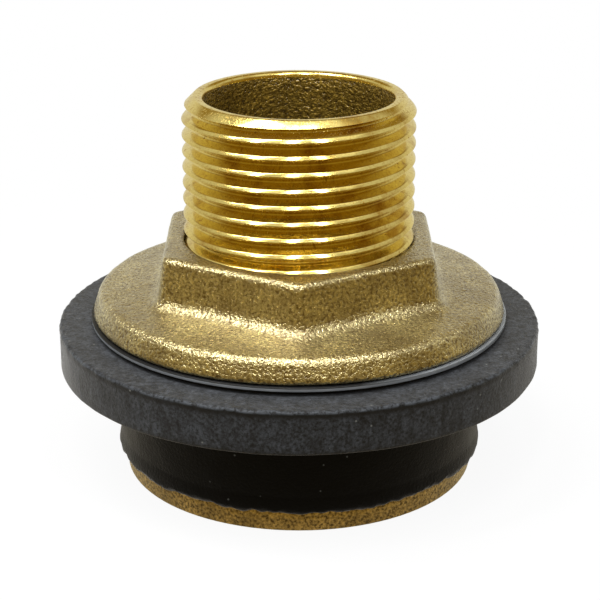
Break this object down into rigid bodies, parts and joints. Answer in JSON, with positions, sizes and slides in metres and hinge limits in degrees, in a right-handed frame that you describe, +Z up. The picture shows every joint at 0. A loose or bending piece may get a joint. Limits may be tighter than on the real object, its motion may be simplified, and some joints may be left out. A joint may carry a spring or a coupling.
{
  "type": "toilet spud",
  "caption": "Rubber-sealed toilet spud: threaded cast brass tube with a round foot, moulded rubber plug and disc, thin washer and a flanged hexagon lock nut.",
  "frame": {"origin": "centre of the foot's underside, on the waterway's axis, where the part stands", "axes": "+Z up the waterway towards the threaded mouth, +X to the right and -Y to the viewer, with a corner of the hexagon towards -Y"},
  "size_m": [0.07, 0.07, 0.0555],
  "materials": {
    "body_brass": "machined on the thread and mouth, as cast in the bore and on the foot",
    "gasket_rubber": "matt moulded, dusty",
    "ring_zinc": "dull zinc plate",
    "nut_brass": "as cast, sandy"
  },
  "bodies": {
    "spud": {"spud_body": "body_brass", "rubber_gasket": "gasket_rubber"},
    "ring": {"friction_ring": "ring_zinc"},
    "nut": {"lock_nut": "nut_brass"}
  },
  "joints": [
    {"name": "ring_lift", "type": "slide", "parent": "spud", "child": "ring", "axis": [0, 0, 1], "range_m": [0, 0.02772]},
    {"name": "nut_turn", "type": "hinge", "parent": "ring", "child": "nut", "pos_m": [0, 0, 0.0236], "axis": [0, 0, 1], "range_deg": [0, 4320]}
  ],
  "couplings": [
    {"joint": "ring_lift", "follows": "nut_turn", "m_per_rad": 0.00036749}
  ]
}
